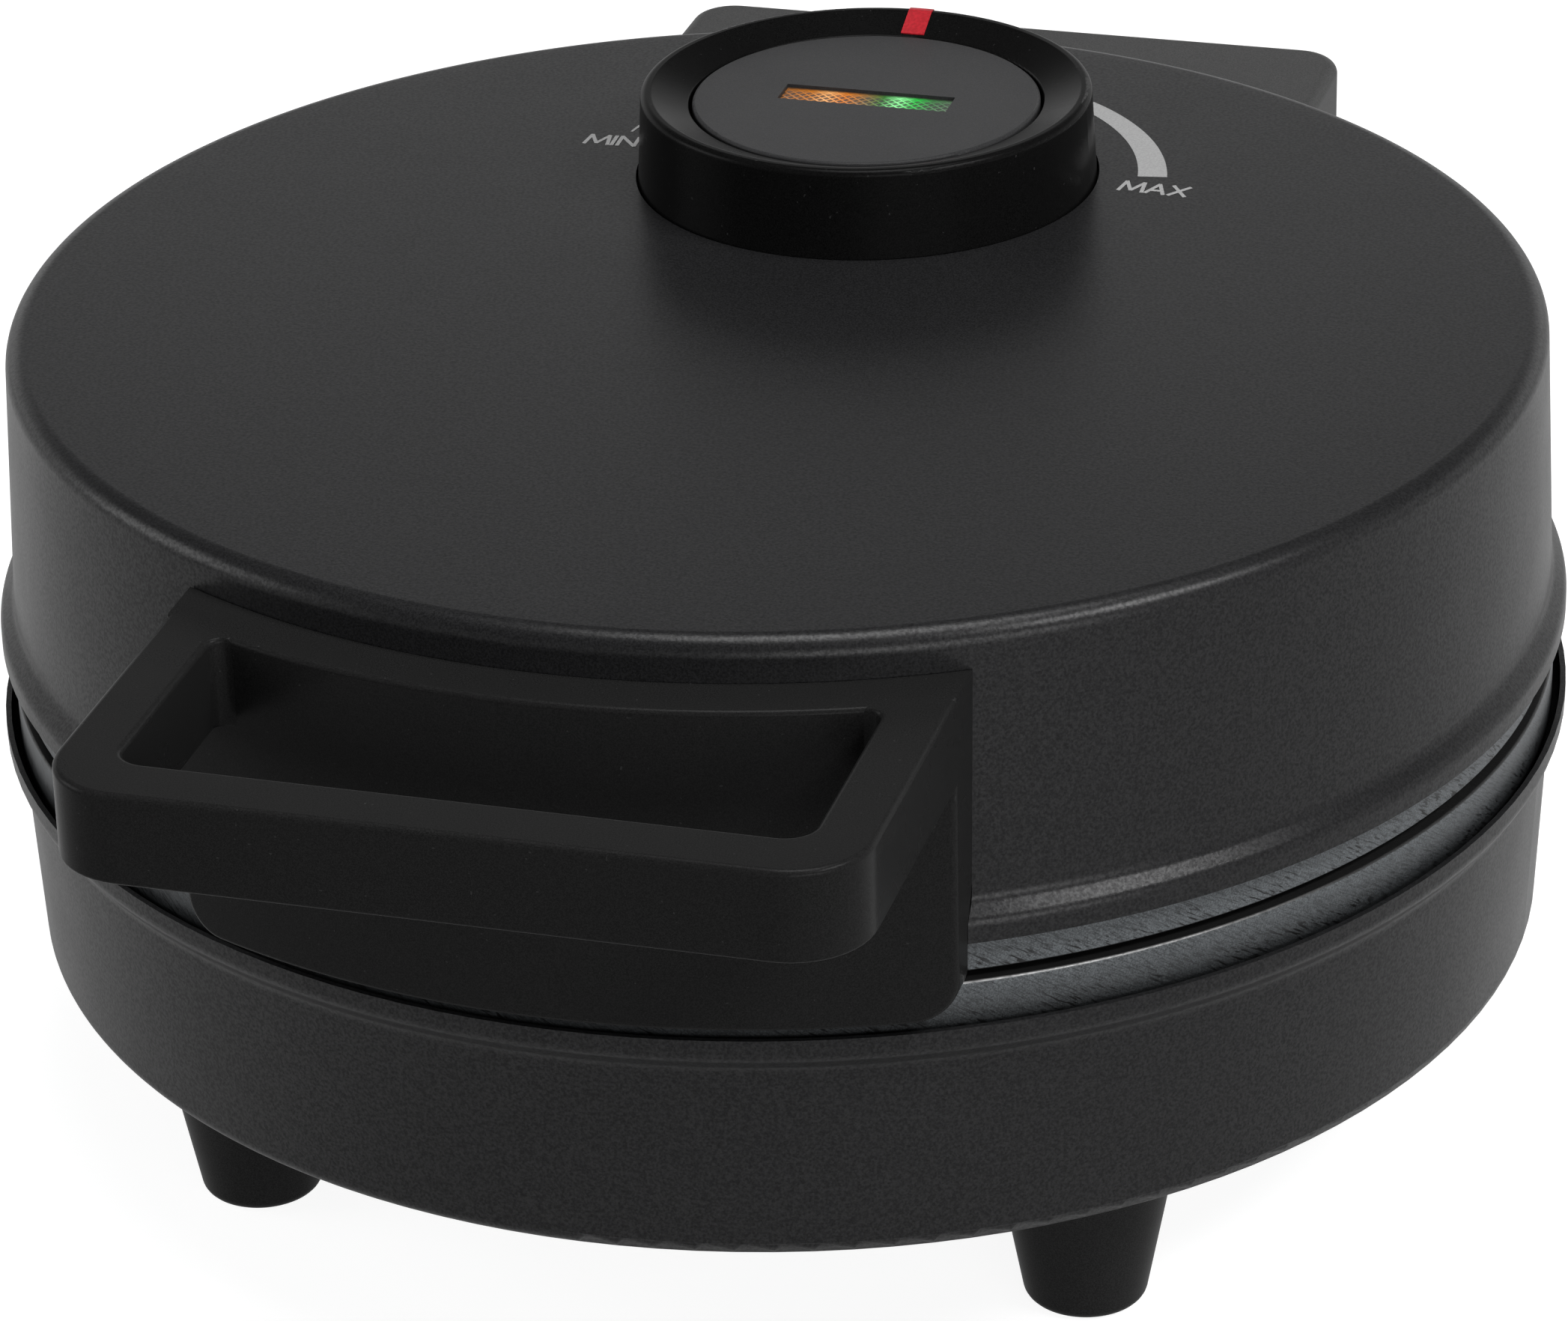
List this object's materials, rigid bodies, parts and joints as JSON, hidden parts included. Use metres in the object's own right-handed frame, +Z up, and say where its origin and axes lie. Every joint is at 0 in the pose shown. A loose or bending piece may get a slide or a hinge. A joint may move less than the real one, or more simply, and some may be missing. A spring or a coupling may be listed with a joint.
{
  "type": "pancake maker",
  "caption": "Round countertop pancake maker: hinged lid with front grip, cooking plates, thermostat dial with lamp window, tapered feet.",
  "frame": {"origin": "on the table, under the middle of the closed appliance's footprint, so the round body's axis is 4.65 mm towards +Y", "axes": "+Z up, +Y towards the hinge, +X to the right when standing at the handle; the handle points to -Y"},
  "size_m": [0.2326, 0.3064, 0.1329],
  "materials": {
    "powder_coat": "fine textured black powder coat",
    "housing_plastic": "fine spark texture, black, glass filled",
    "nonstick_cast": "die-cast aluminium with a dark non-stick coat and a turned edge",
    "heater_steel": "annealed sheath",
    "aluminised_sheet": "bright rolled",
    "plated_steel": "zinc plated",
    "handle_plastic": "fine spark texture, black",
    "foot_plastic": "fine spark texture, black",
    "gland_plastic": "moulded black",
    "dial_plastic": "soft satin black",
    "cap_plastic": "fine matte anthracite",
    "pointer_red": "satin red",
    "ceramic": "fired steatite",
    "column_plastic": "heat-resistant ivory",
    "lens_clear": "clear with prism pattern on its inner face",
    "lamp_orange": "orange lamp",
    "lamp_green": "green lamp"
  },
  "bodies": {
    "base": {"base_shell": "powder_coat", "base_hinge_housing": "housing_plastic", "hinge_lug_left": "housing_plastic", "hinge_lug_right": "housing_plastic", "lug_screws": "plated_steel", "base_housing_screws": "plated_steel", "cord_gland": "gland_plastic", "lower_plate": "nonstick_cast", "lower_heater": "heater_steel", "lower_reflector": "aluminised_sheet", "lower_plate_posts": "plated_steel", "lower_plate_screws": "plated_steel", "foot_front_left": "foot_plastic", "foot_front_right": "foot_plastic", "foot_rear_left": "foot_plastic", "foot_rear_right": "foot_plastic", "foot_screws": "plated_steel", "foot_nuts": "plated_steel", "terminal_block": "ceramic"},
    "lid": {"lid_shell": "powder_coat", "lid_frame": "plated_steel", "upper_plate": "nonstick_cast", "upper_heater": "heater_steel", "upper_reflector": "aluminised_sheet", "upper_plate_posts": "plated_steel", "upper_plate_screws": "plated_steel", "thermal_fuse": "ceramic", "handle": "handle_plastic", "handle_screws": "plated_steel", "lid_hinge_housing": "housing_plastic", "lid_housing_screws": "plated_steel", "hinge_pin": "plated_steel", "thermostat": "ceramic", "dial_bracket": "plated_steel", "lamp_column": "column_plastic", "heating_lamp": "lamp_orange", "ready_lamp": "lamp_green", "dial_cap": "cap_plastic", "lamp_lens": "lens_clear"},
    "dial": {"dial_ring": "dial_plastic", "dial_pointer": "pointer_red", "thermostat_spindle": "plated_steel"}
  },
  "joints": [
    {"name": "lid_hinge", "type": "hinge", "parent": "base", "child": "lid", "pos_m": [0, 0.14445, 0.06], "axis": [-1, 0, 0], "range_deg": [0, 100]},
    {"name": "dial_turn", "type": "hinge", "parent": "lid", "child": "dial", "pos_m": [0, 0.05575, 0.119], "axis": [0, 0, 1], "range_deg": [-80, 80]}
  ]
}
